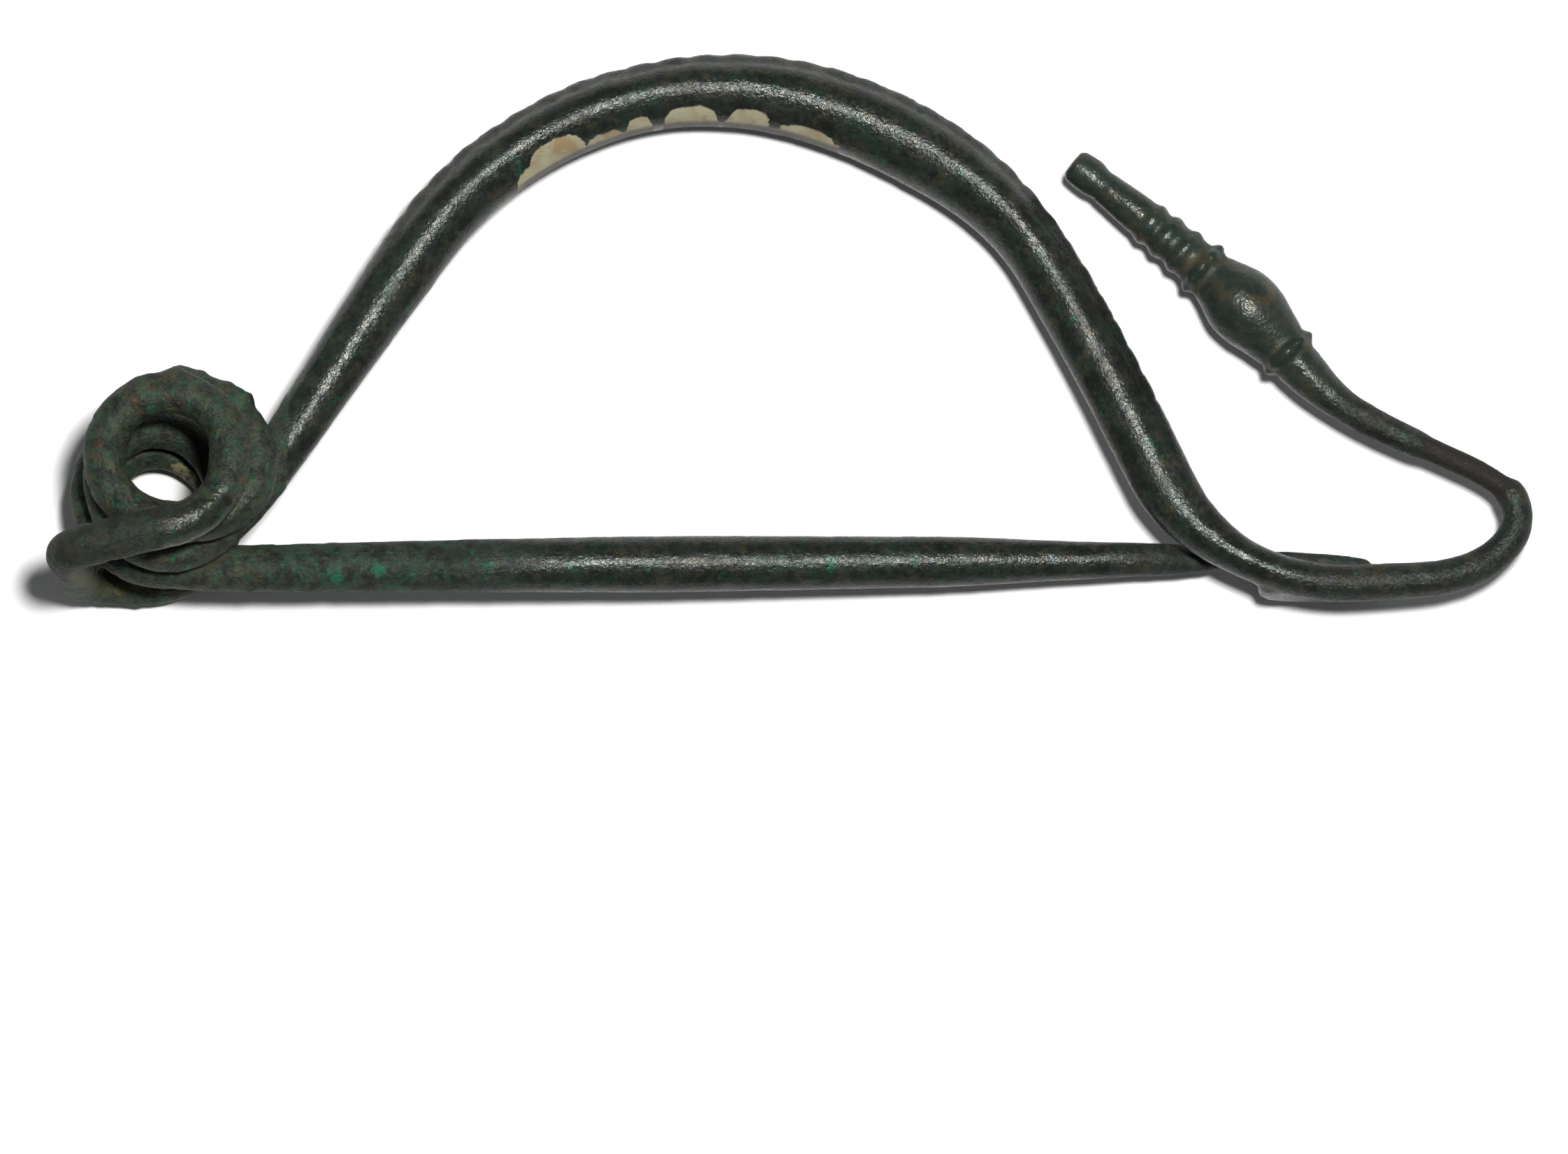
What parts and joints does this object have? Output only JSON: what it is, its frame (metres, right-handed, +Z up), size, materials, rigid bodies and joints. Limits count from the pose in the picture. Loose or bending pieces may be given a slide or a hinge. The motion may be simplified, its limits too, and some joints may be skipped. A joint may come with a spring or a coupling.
{
  "type": "fibula brooch",
  "caption": "Ancient bronze bow brooch with an arched notched bow, coiled spring, straight pin, folded catch and a foot that returns toward the bow in a moulded end.",
  "frame": {"origin": "middle of the footprint, on the surface that the brooch lies on", "axes": "+X from the spring toward the foot, +Y from the pin toward the top of the bow, +Z up through the brooch's depth, away from its far side"},
  "size_m": [0.0648, 0.0242, 0.0114],
  "materials": {
    "bronze": "dark green-black patina, semi-gloss where it is worn, matte in the hollows"
  },
  "bodies": {
    "root": {"brooch": "bronze"}
  },
  "joints": []
}
